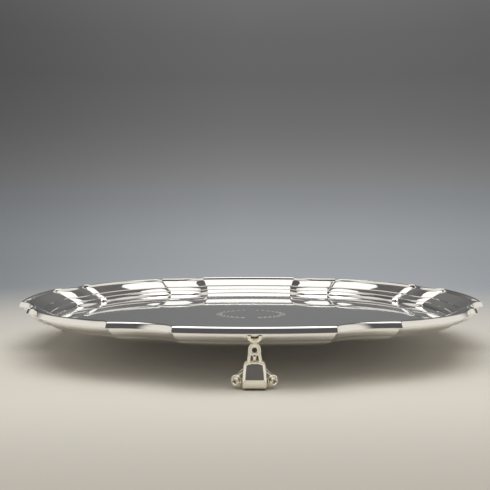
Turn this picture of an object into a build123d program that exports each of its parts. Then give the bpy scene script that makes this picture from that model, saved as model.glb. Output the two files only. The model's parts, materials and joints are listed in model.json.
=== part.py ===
from build123d import *
import os
from math import cos, radians, sin

# Silver salver: a flat plate of sheet silver, a cast stepped border with a
# scalloped outline, a D-section bead soldered along its rim, and three cast
# scroll feet.
# The origin is on the table under the centre. The front foot points along -Y.

# ---- driving dimensions (mm, degrees) ----
rim_radius = 127.0
overall_height = 26.0
plate_underside = 14.8
plate_thickness = 1.0
plate_top = plate_underside + plate_thickness
border_top = 22.9

# ---- the scalloped outline, as fractions of the rim radius ----
# Each quarter holds a long bowed panel, a hollow bay, a bowed corner panel
# and a second hollow bay. Small sharp nibs stand out where they meet.
nib = 1.0
panel_angle = 15.5
panel_middle = 0.988
bay_start = 0.980
bay_start_angle = 16.6
bay_middle = 0.957
bay_middle_angle = 22.6
bay_end_angle = 29.75
corner_start = 0.975
corner_start_angle = 30.7
corner_middle = 1.006
section_angle = 30.2        # a solder joint lies in the short return at a nib

# ---- moulding profiles: (height, fraction of the outline) from the bottom up ----
plate_profile = [(plate_underside, 0.872), (plate_underside + 0.4, 0.880), (plate_top, 0.880)]
border_outside = [(plate_top, 0.880), (16.2, 0.888), (16.5, 0.898), (16.8, 0.908), (17.4, 0.922),
                  (18.1, 0.935), (18.7, 0.944), (19.4, 0.955), (20.1, 0.965), (21.0, 0.975),
                  (22.0, 0.981), (border_top, 0.985)]
border_inside = [(plate_top, 0.850), (16.7, 0.853), (17.9, 0.862), (18.3, 0.873), (18.9, 0.8755),
                 (19.9, 0.890), (20.5, 0.910), (20.9, 0.9165), (21.3, 0.928), (22.1, 0.941),
                 (border_top, 0.952)]
wire_outside = [(border_top, 0.9965), (23.15, 0.9995), (23.5, 1.0), (24.3, 0.9994), (25.1, 0.998),
                (25.6, 0.996), (25.9, 0.993), (overall_height, 0.9905)]
wire_inside = [(border_top, 0.952), (23.6, 0.962), (24.2, 0.971), (24.5, 0.9785), (24.8, 0.9809),
               (25.25, 0.9819), (25.7, 0.9845), (25.9, 0.987), (overall_height, 0.989)]

# ---- feet ----
rear_foot_angle = 108.0
feet = {"front": 0.0, "rear_right": rear_foot_angle, "rear_left": -rear_foot_angle}
joint_height = 11.8         # the leg meets its shield here
joint_depths = (3.6, 6.0)   # its outer and inner faces there, in from the rim outline
fork_centre = 23.0
fork_outer = 3.3
fork_inner = 1.8
neck_width = 2.5
eye_height = 16.0
eye_ring_radius = 2.65
eye_hole_radius = 0.9
leg_foot_width = 6.2
roll_radius = 3.9
roll_height = 3.8
roll_setback = 4.0          # from the rim outline in to the middle of the roll
shield_width = 9.9
shield_shoulder_height = 9.4
volute_radius = 3.1
volute_height = 3.6
volute_steps = [(volute_radius, 2.4), (2.1, 1.2), (0.9, 0.7)]     # (radius, length) outwards

# The leg seen from the side: (distance in from the rim outline, height), down
# its outer face and up its inner one. Its top is cut to the border's underside.
leg_profile = [(1.3, 22.8), (1.6, 21.6), (2.2, 20.5), (2.8, 19.5), (3.2, 18.5), (3.5, 17.5), (3.7, 16.0),
               (3.7, 14.0), (joint_depths[0], joint_height), (joint_depths[1], joint_height), (6.2, 14.0),
               (6.3, 16.0), (6.3, 17.5), (7.0, 19.4), (6.2, 20.2), (4.2, 21.5), (2.2, 22.8)]


def at(radius, angle):
    """A point in plan, its angle measured from the front round towards +X."""
    return (radius * sin(radians(angle)), -radius * cos(radians(angle)))


def scalloped_face(size):
    """The face inside the shaped outline, its nibs at a radius of size."""
    with BuildSketch() as face:
        with BuildLine():
            for turn in range(0, 360, 90):
                tip = at(size * nib, turn + panel_angle)
                ThreePointArc(at(size * nib, turn - panel_angle), at(size * panel_middle, turn), tip)
                bay = at(size * bay_start, turn + bay_start_angle)
                Line(tip, bay)
                bay_end = at(size * nib, turn + bay_end_angle)
                ThreePointArc(bay, at(size * bay_middle, turn + bay_middle_angle), bay_end)
                corner = at(size * corner_start, turn + corner_start_angle)
                Line(bay_end, corner)
                far_corner = at(size * corner_start, turn + 90 - corner_start_angle)
                ThreePointArc(corner, at(size * corner_middle, turn + 45), far_corner)
                far_end = at(size * nib, turn + 90 - bay_end_angle)
                Line(far_corner, far_end)
                far_bay = at(size * bay_start, turn + 90 - bay_start_angle)
                ThreePointArc(far_end, at(size * bay_middle, turn + 90 - bay_middle_angle), far_bay)
                Line(far_bay, at(size * nib, turn + 90 - panel_angle))
        make_face()
    return face.sketch


def moulded_ring(outside, inside):
    """A ring that follows the outline, lofted between its two moulding profiles."""
    with BuildPart() as ring:
        for height, fraction in outside:
            with BuildSketch(Plane.XY.offset(height)):
                add(scalloped_face(rim_radius * fraction))
        loft(ruled=True)
        for height, fraction in inside:
            with BuildSketch(Plane.XY.offset(height)):
                add(scalloped_face(rim_radius * fraction))
        loft(ruled=True, mode=Mode.SUBTRACT)
    return ring.part


def quarter_of(ring, start_angle):
    """The quarter of a ring that starts at start_angle."""
    with BuildPart() as quarter:
        with BuildSketch(Plane.XY):
            with BuildLine():
                Polyline((0, 0), at(2 * rim_radius, start_angle), at(2 * rim_radius, start_angle + 45),
                         at(2 * rim_radius, start_angle + 90), close=True)
            make_face()
        extrude(amount=2 * overall_height)
        add(ring, mode=Mode.INTERSECT)
    return quarter.part


def outline_at(angle):
    """Rim radius near a foot: the middle of a panel, or just inside a bay."""
    if angle == 0:
        return rim_radius * panel_middle
    return rim_radius * (bay_start + bay_middle) / 2


os.makedirs("parts", exist_ok=True)

# ---- plate ----
with BuildPart() as plate:
    for height, fraction in plate_profile:
        with BuildSketch(Plane.XY.offset(height)):
            add(scalloped_face(rim_radius * fraction))
    loft(ruled=True)
plate.part.label = "field_plate"
export_step(plate.part, "parts/field_plate.step")

# ---- border and rim bead ----
border = moulded_ring(border_outside, border_inside)
wire = moulded_ring(wire_outside, wire_inside)

for number in range(1, 5):
    turn = 90 * (number - 1)
    with BuildPart() as border_section:
        add(quarter_of(border, turn + section_angle))
    border_section.part.label = f"border_section_{number}"
    export_step(border_section.part, f"parts/border_section_{number}.step")

    with BuildPart() as wire_section:
        add(quarter_of(wire, turn - section_angle))
    wire_section.part.label = f"rim_wire_section_{number}"
    export_step(wire_section.part, f"parts/rim_wire_section_{number}.step")

# ---- feet ----
for place, angle in feet.items():
    outward = Vector(sin(radians(angle)), -cos(radians(angle)), 0)
    across = Vector(cos(radians(angle)), sin(radians(angle)), 0)
    rim = outline_at(angle)
    side_view = Plane(origin=(0, 0, 0), x_dir=outward, z_dir=-across)
    front_view = Plane(origin=(0, 0, 0), x_dir=across, z_dir=outward)
    roll_place = rim - roll_setback

    with BuildPart() as leg:
        with BuildSketch(side_view):
            with BuildLine():
                Polyline([(rim - inset, height) for inset, height in leg_profile], close=True)
            make_face()
        extrude(amount=fork_outer + 1, both=True)
        with BuildSketch(front_view):
            with Locations((0, fork_centre)):
                Circle(fork_outer)
                Circle(fork_inner, mode=Mode.SUBTRACT)
            with Locations((0, (fork_centre - fork_outer + eye_height) / 2)):
                Rectangle(neck_width, fork_centre - fork_outer - eye_height + 2)
            with Locations((0, eye_height)):
                Circle(eye_ring_radius)
            with BuildLine():
                Polyline((-eye_ring_radius, eye_height), (eye_ring_radius, eye_height),
                         (leg_foot_width / 2, joint_height), (-leg_foot_width / 2, joint_height),
                         close=True)
            make_face()
            with Locations((0, eye_height)):
                Circle(eye_hole_radius, mode=Mode.SUBTRACT)
        extrude(amount=2 * rim_radius, mode=Mode.INTERSECT)
        add(border, mode=Mode.SUBTRACT)
    leg.part.label = f"leg_{place}"
    export_step(leg.part, f"parts/leg_{place}.step")

    with BuildPart() as shield:
        with BuildSketch(side_view):
            with BuildLine():
                CenterArc((roll_place, roll_height), roll_radius, 0, 360)
                Line((rim - joint_depths[1], joint_height), (rim - joint_depths[0], joint_height))
            make_hull()
        extrude(amount=shield_width / 2, both=True)
        with BuildSketch(front_view):
            with BuildLine():
                Polyline((-leg_foot_width / 2, joint_height), (-shield_width / 2, shield_shoulder_height),
                         (-shield_width / 2, 0), (shield_width / 2, 0),
                         (shield_width / 2, shield_shoulder_height), (leg_foot_width / 2, joint_height),
                         close=True)
            make_face()
        extrude(amount=2 * rim_radius, mode=Mode.INTERSECT)
    shield.part.label = f"shield_{place}"
    export_step(shield.part, f"parts/shield_{place}.step")

    with BuildPart() as volutes:
        for hand in (-1, 1):
            reach = shield_width / 2
            for radius, length in volute_steps:
                with BuildSketch(side_view.offset(hand * reach)):
                    with Locations((roll_place, volute_height)):
                        Circle(radius)
                extrude(amount=hand * length)
                reach += length
    volutes.part.label = f"volutes_{place}"
    export_step(volutes.part, f"parts/volutes_{place}.step")
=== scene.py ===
import json
from math import atan2, cos, degrees, pi, radians, sin

import bmesh
import bpy
from mathutils import Matrix, Vector


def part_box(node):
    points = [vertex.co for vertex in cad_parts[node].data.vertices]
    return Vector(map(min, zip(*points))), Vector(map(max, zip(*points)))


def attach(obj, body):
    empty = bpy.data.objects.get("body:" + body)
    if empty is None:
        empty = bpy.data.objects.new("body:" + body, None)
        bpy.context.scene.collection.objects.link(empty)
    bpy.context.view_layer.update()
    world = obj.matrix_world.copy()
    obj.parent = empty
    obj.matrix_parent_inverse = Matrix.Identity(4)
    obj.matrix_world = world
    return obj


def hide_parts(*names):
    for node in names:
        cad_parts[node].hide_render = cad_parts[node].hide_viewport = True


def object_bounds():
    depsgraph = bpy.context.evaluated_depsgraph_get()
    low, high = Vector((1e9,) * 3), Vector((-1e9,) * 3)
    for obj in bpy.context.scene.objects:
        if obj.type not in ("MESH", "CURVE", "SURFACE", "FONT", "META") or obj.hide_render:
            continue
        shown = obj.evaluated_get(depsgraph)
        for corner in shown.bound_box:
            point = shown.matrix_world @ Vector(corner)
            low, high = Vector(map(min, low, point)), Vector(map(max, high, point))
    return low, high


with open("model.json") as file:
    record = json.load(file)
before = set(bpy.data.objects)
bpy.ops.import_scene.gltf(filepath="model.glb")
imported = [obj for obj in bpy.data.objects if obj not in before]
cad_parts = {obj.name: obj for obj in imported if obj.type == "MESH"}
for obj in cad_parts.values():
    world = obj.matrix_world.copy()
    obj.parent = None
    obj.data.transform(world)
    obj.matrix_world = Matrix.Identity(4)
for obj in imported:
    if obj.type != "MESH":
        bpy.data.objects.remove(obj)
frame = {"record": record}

# A silver salver: flat plate, stepped border with a scalloped outline, bead
# along the rim and three scroll feet. Metres, z up, the front foot towards -Y.
CAD_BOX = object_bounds()

# ---- sizes, from the frame ----
PANEL_MIDDLE = 0.988                       # the outline's radius at the middle of a long panel
RIM = CAD_BOX[1].x / PANEL_MIDDLE          # radius to the nibs
PLATE_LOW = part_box("field_plate")[0].z
PLATE_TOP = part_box("field_plate")[1].z
RIM_TOP = CAD_BOX[1].z
MM = 0.001

# ---- the scalloped outline, as in the CAD: fractions of the rim radius, and degrees ----
PANEL_ANGLE = 15.5
BAY_START, BAY_START_ANGLE = 0.980, 16.6
BAY_MIDDLE, BAY_MIDDLE_ANGLE = 0.957, 22.6
BAY_END_ANGLE = 29.75
CORNER_START, CORNER_START_ANGLE = 0.975, 30.7
CORNER_MIDDLE = 1.006
SECTION_ANGLE = 30.2                       # the solder joints lie in the short returns
PANEL_STEPS = 48                           # points along a panel, a bay and a short return
BAY_STEPS = 30
RETURN_STEPS = 8
ROUNDING = 30                              # rounds of smoothing over the hollow corners
SAME_POINT = 1e-5                          # points nearer than this count as one


def at(radius, angle):
    """A point in plan, its angle measured from the front round towards +X."""
    return Vector((radius * sin(radians(angle)), -radius * cos(radians(angle)), 0.0))


def arc(first, middle, last, steps):
    """Points along the circle through three points, without the last one."""
    a, b, c = first, middle, last
    d = 2 * (a.x * (b.y - c.y) + b.x * (c.y - a.y) + c.x * (a.y - b.y))
    ux = (a.dot(a) * (b.y - c.y) + b.dot(b) * (c.y - a.y) + c.dot(c) * (a.y - b.y)) / d
    uy = (a.dot(a) * (c.x - b.x) + b.dot(b) * (a.x - c.x) + c.dot(c) * (b.x - a.x)) / d
    centre = Vector((ux, uy, 0.0))
    radius = (a - centre).length
    start = atan2(a.y - uy, a.x - ux)
    turn = (atan2(c.y - uy, c.x - ux) - start + pi) % (2 * pi) - pi
    points = []
    for i in range(steps):
        angle = start + turn * i / steps
        points.append(centre + Vector((radius * cos(angle), radius * sin(angle), 0.0)))
    return points


def straight(first, last, steps):
    """Points along a line, without the last one."""
    return [first.lerp(last, i / steps) for i in range(steps)]


def outline_points():
    """The closed outline at a rim radius of 1. Its hollow corners are rounded by
    smoothing, and its nibs are held in place, so that they stay sharp."""
    points, nibs = [], set()
    for turn in range(0, 360, 90):
        tip_a, tip_b = at(1, turn - PANEL_ANGLE), at(1, turn + PANEL_ANGLE)
        bay = at(BAY_START, turn + BAY_START_ANGLE)
        bay_end = at(1, turn + BAY_END_ANGLE)
        corner = at(CORNER_START, turn + CORNER_START_ANGLE)
        far_corner = at(CORNER_START, turn + 90 - CORNER_START_ANGLE)
        far_end = at(1, turn + 90 - BAY_END_ANGLE)
        far_bay = at(BAY_START, turn + 90 - BAY_START_ANGLE)
        far_tip = at(1, turn + 90 - PANEL_ANGLE)
        nibs.add(len(points))
        points += arc(tip_a, at(PANEL_MIDDLE, turn), tip_b, PANEL_STEPS)
        nibs.add(len(points))
        points += straight(tip_b, bay, RETURN_STEPS)
        points += arc(bay, at(BAY_MIDDLE, turn + BAY_MIDDLE_ANGLE), bay_end, BAY_STEPS)
        nibs.add(len(points))
        points += straight(bay_end, corner, RETURN_STEPS)
        points += arc(corner, at(CORNER_MIDDLE, turn + 45), far_corner, PANEL_STEPS)
        points += straight(far_corner, far_end, RETURN_STEPS)
        nibs.add(len(points))
        points += arc(far_end, at(BAY_MIDDLE, turn + 90 - BAY_MIDDLE_ANGLE), far_bay, BAY_STEPS)
        points += straight(far_bay, far_tip, RETURN_STEPS)
    for _ in range(ROUNDING):
        points = [point if i in nibs else (points[i - 1] + 2 * point + points[(i + 1) % len(points)]) / 4
                  for i, point in enumerate(points)]
    return points


OUTLINE = outline_points()


def angle_of(point):
    """Plan angle from the front round towards +X, from 0 to 360."""
    return degrees(atan2(point.x, -point.y)) % 360


# ---- mesh helpers ----
WELD_DISTANCE = 1e-7
SMOOTH_ANGLE = 35


def mesh_object(name, verts, faces, material):
    """A new object in the scene, of one material."""
    mesh = bpy.data.meshes.new(name)
    mesh.from_pydata([tuple(v) for v in verts], [], faces)
    mesh.validate()
    mesh.materials.append(material)
    obj = bpy.data.objects.new(name, mesh)
    bpy.context.scene.collection.objects.link(obj)
    tidy_mesh(mesh)
    return obj


def tidy_mesh(mesh):
    """Outward normals, and smooth shading that stays crisp at real edges."""
    bm = bmesh.new()
    bm.from_mesh(mesh)
    bmesh.ops.remove_doubles(bm, verts=bm.verts, dist=WELD_DISTANCE)
    bmesh.ops.recalc_face_normals(bm, faces=bm.faces)
    bm.to_mesh(mesh)
    bm.free()
    mesh.shade_smooth()
    mesh.set_sharp_from_angle(angle=radians(SMOOTH_ANGLE))


def skin(loops, count):
    """Faces between closed loops of vertices that follow one another, count to a loop."""
    faces = []
    for i in range(loops - 1):
        for j in range(count):
            k = (j + 1) % count
            faces.append((i * count + j, i * count + k, (i + 1) * count + k, (i + 1) * count + j))
    return faces


def capped_skin(loops, count):
    """The same, with a face over the first loop and one over the last."""
    first = tuple(reversed(range(count)))
    last = tuple((loops - 1) * count + k for k in range(count))
    return skin(loops, count) + [first, last]


def curve_through(knots, steps):
    """A smooth open curve (Catmull-Rom) through knots given as (x, y) pairs."""
    pts = [Vector((k[0], k[1], 0)) for k in knots]
    pts = [2 * pts[0] - pts[1]] + pts + [2 * pts[-1] - pts[-2]]
    out = []
    for i in range(1, len(pts) - 2):
        a, b, c, d = pts[i - 1:i + 3]
        for s in range(steps):
            t = s / steps
            p = 0.5 * (2 * b + (c - a) * t + (2 * a - 5 * b + 4 * c - d) * t * t
                       + (3 * b - a - 3 * c + d) * t ** 3)
            out.append((p.x, p.y))
    out.append((pts[-2].x, pts[-2].y))
    return out


def ring_section(name, profile, start, material):
    """A closed moulding profile, of (fraction, height) pairs, carried a quarter
    of the way round the outline from start degrees, with both ends closed."""
    ring = sorted(OUTLINE, key=lambda p: (angle_of(p) - start) % 360)
    quarter = [p for p in ring if (angle_of(p) - start) % 360 < 90]
    first = cut_point(start)
    last = cut_point(start + 90)
    path = [first] + [p for p in quarter if (p - first).length > SAME_POINT] + [last]
    count = len(profile)
    verts = []
    for p in path:
        verts += [(p.x * RIM * fraction, p.y * RIM * fraction, height) for fraction, height in profile]
    faces = skin(len(path), count)
    faces.append(tuple(range(count)))
    faces.append(tuple((len(path) - 1) * count + j for j in reversed(range(count))))
    return mesh_object(name, verts, faces, material)


def cut_point(angle):
    """Where the ray at this angle crosses the outline."""
    angle %= 360
    ring = OUTLINE + OUTLINE[:1]
    for a, b in zip(ring, ring[1:]):
        low, high = angle_of(a), angle_of(b)
        if high < low:
            high += 360
        for probe in (angle, angle + 360):
            if low <= probe < high:
                ray = at(1, angle)
                side = Vector((-ray.y, ray.x, 0))
                t = -a.dot(side) / (b - a).dot(side)
                return a.lerp(b, t)
    raise ValueError(f"no outline at {angle} degrees")


# ---- shader helpers ----
def noise(nodes, links, place, scale, detail):
    """Cloudy noise at place, a socket."""
    texture = nodes.new("ShaderNodeTexNoise")
    texture.inputs["Scale"].default_value = scale
    texture.inputs["Detail"].default_value = detail
    links.new(place, texture.inputs["Vector"])
    return texture.outputs["Fac"]


def map_range(nodes, links, source, low, high, to=(0.0, 1.0), smooth=False):
    """Takes source, a socket, from the range low to high to the range in to."""
    share = nodes.new("ShaderNodeMapRange")
    if smooth:
        share.interpolation_type = "SMOOTHSTEP"
    share.inputs["From Min"].default_value = low
    share.inputs["From Max"].default_value = high
    share.inputs["To Min"].default_value, share.inputs["To Max"].default_value = to
    links.new(source, share.inputs["Value"])
    return share.outputs["Result"]


def mix_colours(nodes, links, factor, first, second, blend_type="MIX"):
    """Mixes two colours, each a tuple or a socket, by a factor that is a socket or a number."""
    mix = nodes.new("ShaderNodeMix")
    mix.data_type = "RGBA"
    mix.blend_type = blend_type
    for name, value in (("Factor", factor), ("A", first), ("B", second)):
        if isinstance(value, float):
            mix.inputs[name].default_value = value
        elif isinstance(value, tuple):
            mix.inputs[name].default_value = (*value, 1)
        else:
            links.new(value, mix.inputs[name])
    return mix.outputs["Result"]


def blend(nodes, links, source, low, high, first, second):
    """Turns smoothly from the first colour to the second as source goes from low to high."""
    share = map_range(nodes, links, source, low, high, smooth=True)
    return mix_colours(nodes, links, share, first, second)


# ---- silver ----
WEAR_DETAIL = 5.0
WEAR_RANGE = (0.3, 0.7)                    # of the cloudy noise
WEAR_ROUGHNESS = (0.75, 1.35)              # of the roughness, at those two ends
HOLLOW_DISTANCE = 1.6 * MM
HOLLOW_SAMPLES = 8
HOLLOW_RANGE = (0.15, 0.75)                # from a deep hollow to an open face
TARNISH_TINT = (0.42, 0.37, 0.30)          # what full tarnish leaves of a colour
SCRATCH_LAYERS = [(0.4, 1.0), (1.7, 0.8), (2.6, 1.2)]     # (turn in radians, fineness)
SCRATCH_SCALE, SCRATCH_DETAIL = 3.0, 2.0
SCRATCH_ALONG, SCRATCH_ACROSS, SCRATCH_UP = 9, 900, 200
SCRATCH_DEPTH = 0.01 * MM


def scratch_lines(nodes, links, place):
    """Fine scratches, as the sum of noises drawn out in different directions."""
    lines = None
    for turn, fineness in SCRATCH_LAYERS:
        spin = nodes.new("ShaderNodeMapping")
        spin.inputs["Rotation"].default_value = (0.0, 0.0, turn)
        spin.inputs["Scale"].default_value = (SCRATCH_ALONG * fineness, SCRATCH_ACROSS * fineness, SCRATCH_UP)
        links.new(place, spin.inputs["Vector"])
        layer = noise(nodes, links, spin.outputs["Vector"], SCRATCH_SCALE, SCRATCH_DETAIL)
        if lines is None:
            lines = layer
        else:
            both = nodes.new("ShaderNodeMath")
            both.operation = "ADD"
            links.new(lines, both.inputs[0])
            links.new(layer, both.inputs[1])
            lines = both.outputs["Value"]
    return lines


def silver(name, colour, roughness, wear_scale, scratches, tarnish, mirror):
    """Polished silver: cloudy variation in roughness, fine scratches as bump, and
    a warm tarnish that gathers in the hollows. What mirror leaves short of 1 is a
    haze of wear that scatters a little light."""
    mat = bpy.data.materials.new(name)
    mat.use_nodes = True
    nodes, links = mat.node_tree.nodes, mat.node_tree.links
    nodes.clear()
    out = nodes.new("ShaderNodeOutputMaterial")
    shader = nodes.new("ShaderNodeBsdfPrincipled")
    shader.inputs["Metallic"].default_value = mirror
    links.new(shader.outputs["BSDF"], out.inputs["Surface"])
    place = nodes.new("ShaderNodeTexCoord").outputs["Object"]

    clouds = noise(nodes, links, place, wear_scale, WEAR_DETAIL)
    rough = map_range(nodes, links, clouds, *WEAR_RANGE, to=[roughness * part for part in WEAR_ROUGHNESS])
    links.new(rough, shader.inputs["Roughness"])

    hollow = nodes.new("ShaderNodeAmbientOcclusion")
    hollow.inputs["Distance"].default_value = HOLLOW_DISTANCE
    hollow.samples = HOLLOW_SAMPLES
    depth = map_range(nodes, links, hollow.outputs["AO"], *HOLLOW_RANGE, to=(tarnish, 0.0))
    tarnished = tuple(level * left for level, left in zip(colour, TARNISH_TINT))
    links.new(mix_colours(nodes, links, depth, colour, tarnished), shader.inputs["Base Color"])

    bump = nodes.new("ShaderNodeBump")
    bump.inputs["Strength"].default_value = scratches
    bump.inputs["Distance"].default_value = SCRATCH_DEPTH
    links.new(scratch_lines(nodes, links, place), bump.inputs["Height"])
    links.new(bump.outputs["Normal"], shader.inputs["Normal"])
    return mat


PLATE_SILVER = silver("plate_silver", (0.92, 0.935, 0.945), roughness=0.028, wear_scale=35,
                      scratches=0.03, tarnish=0.3, mirror=0.85)
BORDER_SILVER = silver("border_silver", (0.95, 0.935, 0.905), roughness=0.04, wear_scale=60,
                       scratches=0.06, tarnish=0.6, mirror=0.985)
FOOT_SILVER = silver("foot_silver", (0.97, 0.93, 0.82), roughness=0.08, wear_scale=120,
                     scratches=0.25, tarnish=0.9, mirror=0.94)
ENGRAVED_SILVER = silver("engraved_silver", (0.95, 0.94, 0.92), roughness=0.35, wear_scale=300,
                         scratches=0.2, tarnish=0.3, mirror=0.75)


def settle(piece, slot, *replaced):
    """Every piece of the salver is soldered to the rest, so all ride on one body."""
    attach(piece, "root")
    if replaced:
        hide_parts(*replaced)
    return piece


# ---- plate ----
# Towards its edge the underside turns up: (fraction of the outline, share of the thickness).
PLATE_EDGE = [(0.790, 0.0), (0.815, 0.04), (0.838, 0.18), (0.855, 0.42), (0.868, 0.75)]
PLATE_EDGE_END = 0.874
PLATE_RINGS = (0.3, 0.7)                   # rings of vertices over its flat middle


def build_plate():
    """A flat sheet whose thin edge is tucked under the border."""
    thick = PLATE_TOP - PLATE_LOW
    rings = [(fraction, PLATE_LOW) for fraction in PLATE_RINGS]
    rings += [(fraction, PLATE_LOW + share * thick) for fraction, share in PLATE_EDGE]
    rings.append((PLATE_EDGE_END, PLATE_TOP))
    rings += [(fraction, PLATE_TOP) for fraction in reversed(PLATE_RINGS)]
    count = len(OUTLINE)
    verts = []
    for fraction, height in rings:
        verts += [(p.x * RIM * fraction, p.y * RIM * fraction, height) for p in OUTLINE]
    faces = skin(len(rings), count)
    low, top = len(verts), len(verts) + 1
    verts += [(0, 0, PLATE_LOW), (0, 0, PLATE_TOP)]
    last = (len(rings) - 1) * count
    for j in range(count):
        k = (j + 1) % count
        faces.append((low, k, j))
        faces.append((top, last + j, last + k))
    plate = mesh_object("plate", verts, faces, PLATE_SILVER)
    settle(plate, "plate_silver", "field_plate")


# ---- border ----
# The section from its inner edge out over the top and back underneath: fractions
# of the outline, and millimetres over the plate. A quarter round at the plate, a
# flat, a swelling band, a step and a hollow. A smooth curve runs through each list.
TOP_CURVES = [
    [(0.8600, -0.3), (0.8610, 0.0), (0.8635, 0.75), (0.8670, 1.4), (0.8720, 2.0), (0.8770, 2.35),
     (0.8810, 2.45)],
    [(0.8818, 2.5), (0.8822, 2.85)],
    [(0.8830, 2.95), (0.8900, 3.35), (0.8980, 3.8), (0.9060, 4.22), (0.9130, 4.56), (0.9155, 4.64)],
    [(0.9178, 4.66), (0.9184, 5.05)],
    [(0.9195, 5.12), (0.9290, 5.73), (0.9380, 6.33), (0.9470, 6.95), (0.9560, 7.56), (0.9650, 8.15),
     (0.9710, 8.47), (0.9765, 8.63)],
    [(0.9790, 8.62), (0.9860, 8.6)],
]
UNDER_CURVES = [
    [(0.9900, 7.2), (0.9840, 7.0)],
    [(0.9832, 6.8), (0.9812, 6.25), (0.9775, 5.65), (0.9720, 5.0), (0.9650, 4.3), (0.9560, 3.65),
     (0.9480, 3.2)],
    [(0.9445, 3.0), (0.9400, 2.5), (0.9350, 2.1)],
    [(0.9310, 1.95), (0.9210, 1.55), (0.9080, 1.0), (0.8980, 0.7), (0.8880, 0.4), (0.8780, 0.1),
     (0.8690, -0.15), (0.8640, -0.3)],
]
BORDER_STEPS = 4
# The bead: millimetres out from the outline and up from its top.
BEAD_CURVE = [
    (-1.55, 0.0), (-1.3, -0.05), (-1.03, -0.18), (-0.82, -0.38), (-0.66, -0.61), (-0.54, -0.87),
    (-0.4, -1.17), (-0.27, -1.5), (-0.17, -1.85), (-0.09, -2.2), (-0.03, -2.5), (0.0, -2.75),
    (-0.06, -2.95), (-0.25, -3.08), (-1.3, -3.12), (-2.2, -3.0), (-2.47, -2.4), (-2.38, -1.8),
    (-2.28, -1.35), (-2.16, -0.85), (-2.05, -0.45), (-1.93, -0.22), (-1.75, -0.06),
]
BEAD_STEPS = 3


def build_border():
    """The stepped moulding, in four cast sections."""
    profile = []
    for curve in TOP_CURVES + UNDER_CURVES:
        profile += curve_through(curve, BORDER_STEPS)
    profile = [(fraction, PLATE_TOP + height * MM) for fraction, height in profile]
    for number in range(1, 5):
        start = 90 * (number - 1) + SECTION_ANGLE
        section = ring_section(f"border_{number}", profile, start, BORDER_SILVER)
        settle(section, "border_silver", f"border_section_{number}")


def build_rim():
    """A D-section bead, nearly upright outside, bedded on the border's top edge."""
    profile = []
    for out, up in curve_through(BEAD_CURVE + BEAD_CURVE[:1], BEAD_STEPS)[:-1]:
        profile.append((1 + out * MM / RIM, RIM_TOP + up * MM))
    for number in range(1, 5):
        start = 90 * (number - 1) - SECTION_ANGLE
        section = ring_section(f"rim_{number}", profile, start, BORDER_SILVER)
        settle(section, "border_silver", f"rim_wire_section_{number}")


# ---- feet ----
# Each foot is made once in its own frame, in millimetres: x across the foot,
# y inwards from the middle of its rolled toe, z up from the table.
VOXEL = 0.12 * MM
CAST_FULLNESS = 0.6                        # bars and rings with a slightly squared section
ROUND_FULLNESS = 1.0
TUBE_SIDES = 16
BAR_STEPS = 5
TORUS_STEPS = 36


def squared(angle, fullness):
    """A point on a rounded square: fullness 1 is a circle, and less is squarer."""
    c, s = cos(angle), sin(angle)
    return abs(c) ** fullness * (1 if c > 0 else -1), abs(s) ** fullness * (1 if s > 0 else -1)


def tube(path, radii, fullness):
    """A closed bar along path, with its own half width at each point."""
    verts = []
    for i, point in enumerate(path):
        along = (path[min(i + 1, len(path) - 1)] - path[max(i - 1, 0)]).normalized()
        side = along.cross(Vector((0, 1, 0))).normalized()
        front = side.cross(along)
        for k in range(TUBE_SIDES):
            across, out = squared(2 * pi * k / TUBE_SIDES, fullness)
            verts.append(point + radii[i] * (across * side + out * front))
    return verts, capped_skin(len(path), TUBE_SIDES)


def bar(*knots):
    """A smooth bar through (x, y, z, radius) knots."""
    flat = curve_through([(k[0], k[1]) for k in knots], BAR_STEPS)
    rise = curve_through([(k[2], k[3]) for k in knots], BAR_STEPS)
    path = [Vector((x, y, z)) for (x, y), (z, _) in zip(flat, rise)]
    return tube(path, [radius for _, radius in rise], CAST_FULLNESS)


def torus(centre, major, minor):
    """A ring that stands across the foot."""
    verts, faces = [], []
    for k in range(TORUS_STEPS):
        angle = 2 * pi * k / TORUS_STEPS
        spoke = Vector((cos(angle), 0, sin(angle)))
        for n in range(TUBE_SIDES):
            out, deep = squared(2 * pi * n / TUBE_SIDES, CAST_FULLNESS)
            verts.append(centre + spoke * (major + minor * out) + Vector((0, minor * deep, 0)))
            a, b = k * TUBE_SIDES + n, k * TUBE_SIDES + (n + 1) % TUBE_SIDES
            c = (a + TUBE_SIDES) % (TORUS_STEPS * TUBE_SIDES)
            d = (b + TUBE_SIDES) % (TORUS_STEPS * TUBE_SIDES)
            faces.append((a, b, d, c))
    return verts, faces


def cast(name, parts, smoothing):
    """One casting from overlapping closed parts, remeshed and smoothed."""
    mesh = bpy.data.meshes.new(name)
    verts, faces = [], []
    for part_verts, part_faces in parts:
        start = len(verts)
        verts += [tuple(v * MM) for v in part_verts]
        faces += [tuple(i + start for i in face) for face in part_faces]
    mesh.from_pydata(verts, [], faces)
    bm = bmesh.new()
    bm.from_mesh(mesh)
    bmesh.ops.recalc_face_normals(bm, faces=bm.faces)
    bm.to_mesh(mesh)
    bm.free()
    rough = bpy.data.objects.new(name + "_rough", mesh)
    bpy.context.scene.collection.objects.link(rough)
    remesh = rough.modifiers.new("remesh", "REMESH")
    remesh.mode = "VOXEL"
    remesh.voxel_size = VOXEL
    soften = rough.modifiers.new("soften", "SMOOTH")
    soften.factor = 0.5
    soften.iterations = smoothing
    depsgraph = bpy.context.evaluated_depsgraph_get()
    cast_mesh = bpy.data.meshes.new_from_object(rough.evaluated_get(depsgraph))
    cast_mesh.name = name
    bpy.data.objects.remove(rough)
    bpy.data.meshes.remove(mesh)
    return cast_mesh


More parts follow.
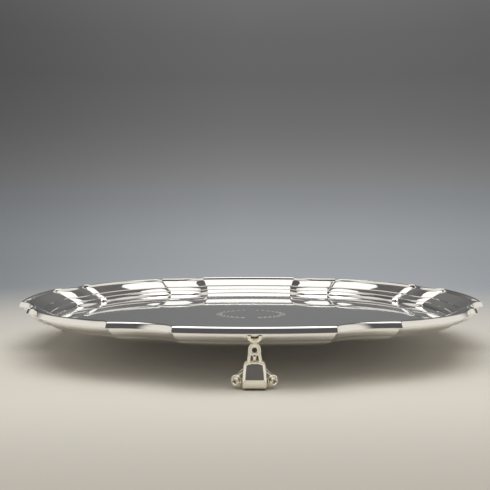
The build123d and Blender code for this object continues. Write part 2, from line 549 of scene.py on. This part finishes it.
# The left half of the fork, down to the middle of its bend: (x, y, z, radius).
FORK_HALF = [(-2.2, -2.7, 22.7, 0.66), (-2.25, -2.55, 22.2, 0.74), (-2.25, -2.35, 21.6, 0.8),
             (-2.0, -2.0, 20.95, 0.86), (-1.2, -1.6, 20.4, 0.9)]
FORK_BEND = (0, -1.4, 20.2, 0.92)


def leg_mesh():
    """A forked top on the border's wall, a short neck, a pierced eye, two limbs
    that spread to the shield, and a drop between them."""
    other_half = [(-x, y, z, radius) for x, y, z, radius in reversed(FORK_HALF)]
    fork = bar(*FORK_HALF, FORK_BEND, *other_half)
    neck = bar((0, -0.9, 20.7, 0.95), (0, -0.3, 19.8, 1.15), (0, 0.3, 18.9, 1.25), (0, 0.7, 18.0, 1.35),
               (0, 0.85, 17.3, 1.2))
    neck_back = bar((0, 0.6, 20.7, 0.9), (0, 1.1, 19.6, 1.1), (0, 1.2, 18.2, 1.1))
    eye = torus(Vector((0, 0.6, 16.0)), 1.8, 0.82)
    drop = bar((0, 0.35, 14.6, 0.5), (0, 0.1, 14.0, 0.72), (0, 0.0, 13.2, 0.78), (0, 0.0, 12.4, 0.66),
               (0, 0.1, 11.7, 0.4))
    limbs = []
    for hand in (-1, 1):
        limbs.append(bar((hand * 0.7, 0.65, 18.4, 0.85), (hand * 1.5, 0.65, 17.4, 0.85),
                         (hand * 1.85, 0.6, 16.0, 0.82), (hand * 1.95, 0.55, 14.7, 0.75),
                         (hand * 2.15, 0.5, 13.3, 0.72), (hand * 2.35, 0.6, 12.0, 0.72),
                         (hand * 2.3, 0.8, 11.0, 0.7)))
    return cast("leg", [fork, neck, neck_back, eye, drop] + limbs, smoothing=3)


SCROLL_PLACE = (7.35, 0.0, 3.4)            # the middle of a scroll, to the right
SCROLL_TURN = 48                           # degrees that it is turned to the front
SCROLL_RISE = Vector((0, 0, 1))
# The disc under the spiral: (radius, place along the axis) from its back round to its face.
SCROLL_DISC = [(0.01, -1.2), (1.5, -1.2), (2.2, -0.9), (2.5, -0.3), (2.4, 0.1), (1.6, -0.1), (0.01, -0.2)]
DISC_SIDES = 40
SPIRAL_TURNS = 1.25
SPIRAL_STEPS = 60


def scroll_disc(centre, axis, level):
    """The dished disc under the spiral."""
    verts = []
    for radius, reach in SCROLL_DISC:
        for k in range(DISC_SIDES):
            angle = 2 * pi * k / DISC_SIDES
            verts.append(centre + axis * reach + (level * cos(angle) + SCROLL_RISE * sin(angle)) * radius)
    return verts, capped_skin(len(SCROLL_DISC), DISC_SIDES)


def scroll_spiral(centre, axis, level, hand):
    """A roll that tightens, thins and climbs towards the eye of the scroll."""
    path, radii = [], []
    for i in range(SPIRAL_STEPS + 1):
        t = i / SPIRAL_STEPS
        swept = 2 * pi * SPIRAL_TURNS * t
        angle = 0.75 * pi - swept if hand > 0 else 0.25 * pi + swept
        spoke = level * cos(angle) + SCROLL_RISE * sin(angle)
        path.append(centre + axis * (0.2 + 0.55 * t) + spoke * (2.35 - 1.5 * t))
        radii.append(0.68 - 0.22 * t)
    return tube(path, radii, ROUND_FULLNESS)


def volutes_mesh():
    """A scroll each side of the toe: a disc turned half to the front with a bold
    spiral roll on its face, an arm up to the shield's side and an axle to the toe."""
    parts = []
    across, inwards, up = SCROLL_PLACE
    for hand in (-1, 1):
        centre = Vector((hand * across, inwards, up))
        axis = Vector((hand * cos(radians(SCROLL_TURN)), -sin(radians(SCROLL_TURN)), 0))
        level = Vector((-axis.y, axis.x, 0))
        parts.append(scroll_disc(centre, axis, level))
        parts.append(scroll_spiral(centre, axis, level, hand))
        parts.append(bar((hand * 4.2, 0.9, 8.2, 0.5), (hand * 5.0, 0.8, 7.4, 0.65),
                         (hand * 5.9, 0.6, 6.5, 0.7), (hand * 6.9, 0.3, 5.6, 0.6)))
        parts.append(bar((hand * 3.8, 0.9, 3.5, 1.3), (hand * 5.2, 0.9, 3.5, 1.2),
                         (hand * 6.8, 0.7, 3.4, 1.2)))
    return cast("volutes", parts, smoothing=3)


# The shield's section from the side: (y, z) down its front and down its back.
SHIELD_FRONT = [(-0.4, 12.0), (-1.05, 10.6), (-1.9, 8.8), (-2.75, 7.0), (-3.22, 6.1), (-3.5, 5.5),
                (-3.67, 5.05), (-3.76, 4.6), (-3.81, 4.0), (-3.83, 3.4), (-3.72, 2.6), (-3.4, 1.7),
                (-2.8, 0.85), (-1.9, 0.22), (-0.9, 0.0)]
SHIELD_BACK = [(2.0, 12.0), (2.25, 10.6), (2.65, 8.8), (3.05, 7.0), (3.4, 5.5), (3.65, 4.6), (3.8, 3.6),
               (3.7, 2.6), (3.4, 1.7), (2.8, 0.85), (1.9, 0.22), (0.9, 0.0)]
SECTION_STEPS = 8
SHIELD_TOP = 12.0
SHIELD_SPRING = 10.0                       # where the arched top starts
SHIELD_HALF_WIDTH = 4.9
ARCH_HALF_WIDTH = 4.5
EDGE_WIDTH = 1.35
# How far the edge falls back from its crest, against the distance in from the outline.
EDGE_FALL = [(0.0, 1.5), (0.1, 1.2), (0.45, 0.68), (0.9, 0.28), (EDGE_WIDTH, 0.0)]
PANEL_DEPTH = 0.14                         # how far the face lies behind the crest
OUTLINE_STEPS = 400
ARCH_LOW = 5.95                            # above this, the arch may be the nearest edge
ARCH_OUTLINE_LOW = 3.0                     # and the outline below this never is
SHIELD_ROWS, SHIELD_COLUMNS = 100, 48


def depth_at(section, height):
    """How far in a side section stands at a height."""
    points = curve_through(section, SECTION_STEPS)
    for (y0, z0), (y1, z1) in zip(points, points[1:]):
        if z1 <= height <= z0:
            return y0 + (y1 - y0) * (z0 - height) / max(z0 - z1, 1e-9)
    return points[-1][0]


def shield_half_width(height):
    """An upright shield, a little narrower above and at the toe, with a round arched top."""
    if height <= SHIELD_SPRING:
        narrowing = 0.4 * max(0.0, (height - 5.0) / 5.0) ** 1.5
        return SHIELD_HALF_WIDTH - narrowing - 0.15 * max(0.0, (1.5 - height) / 1.5) ** 2
    rise = min(1.0, (height - SHIELD_SPRING) / (SHIELD_TOP - SHIELD_SPRING))
    return ARCH_HALF_WIDTH * (1 - rise ** 2.3) ** 0.43


def edge_fall(inside):
    """How far the front falls back, at a distance in from the shield's outline."""
    if inside >= EDGE_WIDTH:
        return PANEL_DEPTH * min(1.0, (inside - EDGE_WIDTH) / 0.2)
    for (d0, f0), (d1, f1) in zip(EDGE_FALL, EDGE_FALL[1:]):
        if inside <= d1:
            return f0 + (f1 - f0) * (inside - d0) / (d1 - d0)
    return 0.0


def shield_mesh():
    """A rolled shield with a smooth face and a bevelled edge that runs up its
    sides and over its arched top, and is shallower in the roll of the toe."""
    heights = [SHIELD_TOP * i / OUTLINE_STEPS for i in range(OUTLINE_STEPS + 1)]
    outline = [(shield_half_width(z), z) for z in heights if z > ARCH_OUTLINE_LOW]
    verts = []
    for i in range(SHIELD_ROWS + 1):
        height = SHIELD_TOP * (1 - (1 - i / SHIELD_ROWS) ** 1.7)
        half = max(shield_half_width(height), 0.3)
        front, back = depth_at(SHIELD_FRONT, height), depth_at(SHIELD_BACK, height)
        fade = min(1.0, max(0.25, (height - 2.5) / 3.0))
        for k in range(SHIELD_COLUMNS + 1):
            x = -half * cos(pi * k / SHIELD_COLUMNS)
            inside = half - abs(x)
            if height > ARCH_LOW:
                to_outline = min(((abs(x) - w) ** 2 + (height - z) ** 2) ** 0.5 for w, z in outline)
                inside = min(inside, to_outline)
            verts.append(Vector((x, front + edge_fall(inside) * fade, height)))
        for k in range(1, SHIELD_COLUMNS):
            c = cos(pi * k / SHIELD_COLUMNS)
            verts.append(Vector((half * c, back - 0.3 * c ** 4, height)))
    faces = capped_skin(SHIELD_ROWS + 1, 2 * SHIELD_COLUMNS)
    return cast("shield", [(verts, faces)], smoothing=2)


def build_feet():
    """The same castings at each of the places where the record rests the salver."""
    meshes = {"leg": leg_mesh(), "shield": shield_mesh(), "volutes": volutes_mesh()}
    for mount in frame["record"]["mounts"]:
        place = mount["name"].replace("rest_", "")
        spot = Vector(mount["pos_m"])
        turn = Matrix.Translation(spot) @ Matrix.Rotation(atan2(spot.x, -spot.y), 4, "Z")
        for part, source in meshes.items():
            mesh = source.copy()
            mesh.transform(turn)
            mesh.materials.clear()
            mesh.materials.append(FOOT_SILVER)
            mesh.shade_smooth()
            piece = bpy.data.objects.new(f"{place}_{part}", mesh)
            bpy.context.scene.collection.objects.link(piece)
            settle(piece, "foot_silver", f"{part}_{place}")
    for source in meshes.values():
        bpy.data.meshes.remove(source)


# ---- engraving ----
LEAF_PAIRS = 15                            # on each side of the wreath
LEAF_LENGTH, LEAF_SHRINK = 4.0, 0.12       # millimetres, and millimetres less for each pair
LEAF_SPREAD = 0.55                         # radians between a leaf and the wreath's line
LEAF_WIDTH = 0.26                          # of its length
LEAF_GAP = 0.05                            # between a leaf and that line, of its length
LEAF_STEPS = 6
WREATH_START, WREATH_PITCH = -80, 11.0     # degrees
WREATH_WIDTH, WREATH_DEPTH, WREATH_SHIFT = 0.14, 0.125, 0.05     # of the rim radius
ENGRAVED_LOW, ENGRAVED_HIGH = PLATE_TOP - 0.03 * MM, PLATE_TOP + 0.02 * MM


def leaf(base, direction, length):
    """The outline of a pointed leaf in plan, anticlockwise from its base."""
    along = Vector((cos(direction), sin(direction), 0))
    side = Vector((-along.y, along.x, 0))
    base = base + along * LEAF_GAP * length
    right, left = [], []
    for i in range(1, LEAF_STEPS):
        t = i / LEAF_STEPS
        swell = LEAF_WIDTH * length / 2 * sin(pi * t ** 0.8)
        right.append(base + along * length * t - side * swell)
        left.append(base + along * length * t + side * swell)
    return [base] + right + [base + along * length] + left[::-1]


def build_engraving():
    """A small open wreath of plain leaves, cut finely in the middle of the plate."""
    outlines = []
    for hand in (-1, 1):
        for i in range(LEAF_PAIRS):
            angle = radians(WREATH_START + WREATH_PITCH * i)
            spot = Vector((hand * WREATH_WIDTH * RIM * cos(angle),
                           WREATH_DEPTH * RIM * sin(angle) - WREATH_SHIFT * RIM, 0))
            onward = atan2(WREATH_DEPTH * cos(angle), -WREATH_WIDTH * hand * sin(angle))
            length = (LEAF_LENGTH - LEAF_SHRINK * i) * MM
            outlines.append(leaf(spot, onward + hand * LEAF_SPREAD, length))
            outlines.append(leaf(spot, onward - hand * LEAF_SPREAD, length))
    verts, faces = [], []
    for outline in outlines:
        start, count = len(verts), len(outline)
        verts += [(p.x, p.y, ENGRAVED_LOW) for p in outline]
        verts += [(p.x, p.y, ENGRAVED_HIGH) for p in outline]
        faces.append(tuple(start + k for k in reversed(range(count))))
        faces.append(tuple(start + count + k for k in range(count)))
        for k in range(count):
            n = (k + 1) % count
            faces.append((start + k, start + n, start + count + n, start + count + k))
    wreath = mesh_object("engraved_wreath", verts, faces, ENGRAVED_SILVER)
    settle(wreath, "plate_silver")


# ---- floor ----
FLOOR_RADIUS = 1.2
FLOOR_Y = -0.1
# Painted shade: the near colour makes the floor darker towards the front, and the far colour is the floor's
# plain lit tone.
FLOOR_PAINTED_SHADE, FLOOR_LIT = (0.56, 0.53, 0.475), (0.80, 0.765, 0.70)
SHADE_FADE_FROM, SHADE_FADE_TO = -0.16, -0.03          # along Y, where the painted shade of the near floor turns into the far colour
FADE_FROM, FADE_TO = 0.13, 0.52            # distances from its middle over which the floor fades


def build_floor():
    """A pale table top with painted shade that makes it darker towards the near side, and that fades into the
    backdrop away from its middle.
    """
    mat = bpy.data.materials.new("table_top")
    mat.use_nodes = True
    nodes, links = mat.node_tree.nodes, mat.node_tree.links
    shader = nodes["Principled BSDF"]
    shader.inputs["Roughness"].default_value = 0.75
    shader.inputs["Specular IOR Level"].default_value = 0.2
    place = nodes.new("ShaderNodeTexCoord").outputs["Object"]
    split = nodes.new("ShaderNodeSeparateXYZ")
    links.new(place, split.inputs["Vector"])
    # painted shade: the floor colour darkens towards the near side
    floor_shading = blend(nodes, links, split.outputs["Y"], SHADE_FADE_FROM, SHADE_FADE_TO, FLOOR_PAINTED_SHADE, FLOOR_LIT)
    links.new(floor_shading, shader.inputs["Base Color"])
    distance = nodes.new("ShaderNodeVectorMath")
    distance.operation = "LENGTH"
    links.new(place, distance.inputs[0])
    fade = map_range(nodes, links, distance.outputs["Value"], FADE_FROM, FADE_TO, smooth=True)
    clear = nodes.new("ShaderNodeBsdfTransparent")
    mix = nodes.new("ShaderNodeMixShader")
    links.new(fade, mix.inputs["Fac"])
    links.new(shader.outputs["BSDF"], mix.inputs[1])
    links.new(clear.outputs["BSDF"], mix.inputs[2])
    links.new(mix.outputs["Shader"], nodes["Material Output"].inputs["Surface"])
    bm = bmesh.new()
    bmesh.ops.create_circle(bm, cap_ends=True, segments=96, radius=FLOOR_RADIUS)
    mesh = bpy.data.meshes.new("table_top")
    bm.to_mesh(mesh)
    bm.free()
    mesh.materials.append(mat)
    floor = bpy.data.objects.new("table_top", mesh)
    floor.location.y = FLOOR_Y
    bpy.context.scene.collection.objects.link(floor)


# ---- backdrop ----
# Levels of grey against the height of a direction, and against its sideways part.
BACKDROP_BY_HEIGHT = [(-0.10, 0.400), (-0.06, 0.362), (-0.03, 0.347), (0.0, 0.305), (0.024, 0.267),
                      (0.052, 0.228), (0.079, 0.195), (0.107, 0.168), (0.133, 0.150), (0.186, 0.130),
                      (0.238, 0.136), (0.287, 0.156), (0.40, 0.17), (0.60, 0.12)]
BACKDROP_BY_SIDE = [(-0.34, 0.62), (-0.25, 0.74), (-0.17, 0.85), (-0.08, 0.94), (0.0, 1.0), (0.17, 0.99),
                    (0.25, 0.95), (0.34, 0.88)]
COOL_BELOW = 0.04                          # height under which the backdrop is a little blue
COOLNESS = 0.05
# Parts of a direction over which one part of the studio turns into the next.
ROOM_BAND = (0.02, 0.12)
NEAR_SIDE = (0.3, -0.3)
SIDEWAYS = (0.6, 0.85)
ROOM_LOW, ROOM_HIGH = (0.72, 0.685, 0.60), (0.085, 0.083, 0.088)
SIDE_PANEL = (0.78, 0.755, 0.70)


def level_ramp(nodes, links, source, stops, cool=False):
    """A ramp of grey through (position, level) stops. A cool one is bluer below
    COOL_BELOW."""
    low, high = stops[0][0], stops[-1][0]
    ramp = nodes.new("ShaderNodeValToRGB")
    links.new(map_range(nodes, links, source, low, high), ramp.inputs["Fac"])
    elements = ramp.color_ramp.elements
    while len(elements) < len(stops):
        elements.new(0.5)
    for element, (position, level) in zip(elements, stops):
        shift = COOLNESS if cool and position < COOL_BELOW else 0.0
        element.position = (position - low) / (high - low)
        element.color = (level * (1 - shift), level, level * (1 + shift), 1)
    return ramp.outputs["Color"]


def build_backdrop():
    """A grey studio: a graded backdrop behind the salver, a dark room with a pale
    low band on the near side, and pale panels left and right."""
    world = bpy.data.worlds.new("backdrop")
    bpy.context.scene.world = world
    world.use_nodes = True
    nodes, links = world.node_tree.nodes, world.node_tree.links
    place = nodes.new("ShaderNodeTexCoord")
    split = nodes.new("ShaderNodeSeparateXYZ")
    links.new(place.outputs["Generated"], split.inputs["Vector"])
    across, forward, up = split.outputs["X"], split.outputs["Y"], split.outputs["Z"]
    by_height = level_ramp(nodes, links, up, BACKDROP_BY_HEIGHT, cool=True)
    by_side = level_ramp(nodes, links, across, BACKDROP_BY_SIDE)
    graded = mix_colours(nodes, links, 1.0, by_height, by_side, "MULTIPLY")
    room = blend(nodes, links, up, *ROOM_BAND, ROOM_LOW, ROOM_HIGH)
    near = blend(nodes, links, forward, *NEAR_SIDE, graded, room)
    sideways = nodes.new("ShaderNodeMath")
    sideways.operation = "ABSOLUTE"
    links.new(across, sideways.inputs[0])
    whole = blend(nodes, links, sideways.outputs["Value"], *SIDEWAYS, near, SIDE_PANEL)
    links.new(whole, nodes["Background"].inputs["Color"])


# ---- lights and camera ----
SOFTBOX_HEIGHT = 0.75
WARM, FAINTLY_WARM = (1.0, 0.985, 0.955), (1.0, 0.99, 0.97)
# (name, place along Y, size, brightness, colour)
SOFTBOXES = [
    ("near_softbox", -0.565, (1.0, 0.41), 1.0, WARM),
    ("overhead_softbox", -0.07, (1.0, 0.58), 2.2, WARM),
    ("far_softbox", 0.51, (0.34, 0.58), 1.0, FAINTLY_WARM),
]
LENS, SENSOR = 53.8, 36                    # millimetres
CAMERA_PLACE = (-0.043 * RIM, -3.3 * RIM, 0.553 * RIM)
CAMERA_DOWN, CAMERA_RIGHT = 2.14, 0.3      # degrees


def build_lights():
    """Softboxes over the salver that face straight down. The silver mirrors them."""
    for name, y, size, level, colour in SOFTBOXES:
        light = bpy.data.lights.new(name, "AREA")
        light.shape = "RECTANGLE"
        light.size, light.size_y = size
        light.energy = level * pi * size[0] * size[1]
        light.color = colour
        obj = bpy.data.objects.new(name, light)
        obj.location = (0, y, SOFTBOX_HEIGHT)
        bpy.context.scene.collection.objects.link(obj)


def build_camera():
    """Low in front of the salver, a little over the rim."""
    data = bpy.data.cameras.new("camera")
    data.lens = LENS
    data.sensor_width = SENSOR
    data.clip_start = 0.01
    camera = bpy.data.objects.new("camera", data)
    camera.location = CAMERA_PLACE
    camera.rotation_euler = (radians(90 - CAMERA_DOWN), 0, radians(-CAMERA_RIGHT))
    bpy.context.scene.collection.objects.link(camera)
    bpy.context.scene.camera = camera


build_plate()
build_border()
build_rim()
build_feet()
build_engraving()
build_floor()
build_backdrop()
build_lights()
build_camera()
bpy.context.scene.view_settings.view_transform = "Standard"
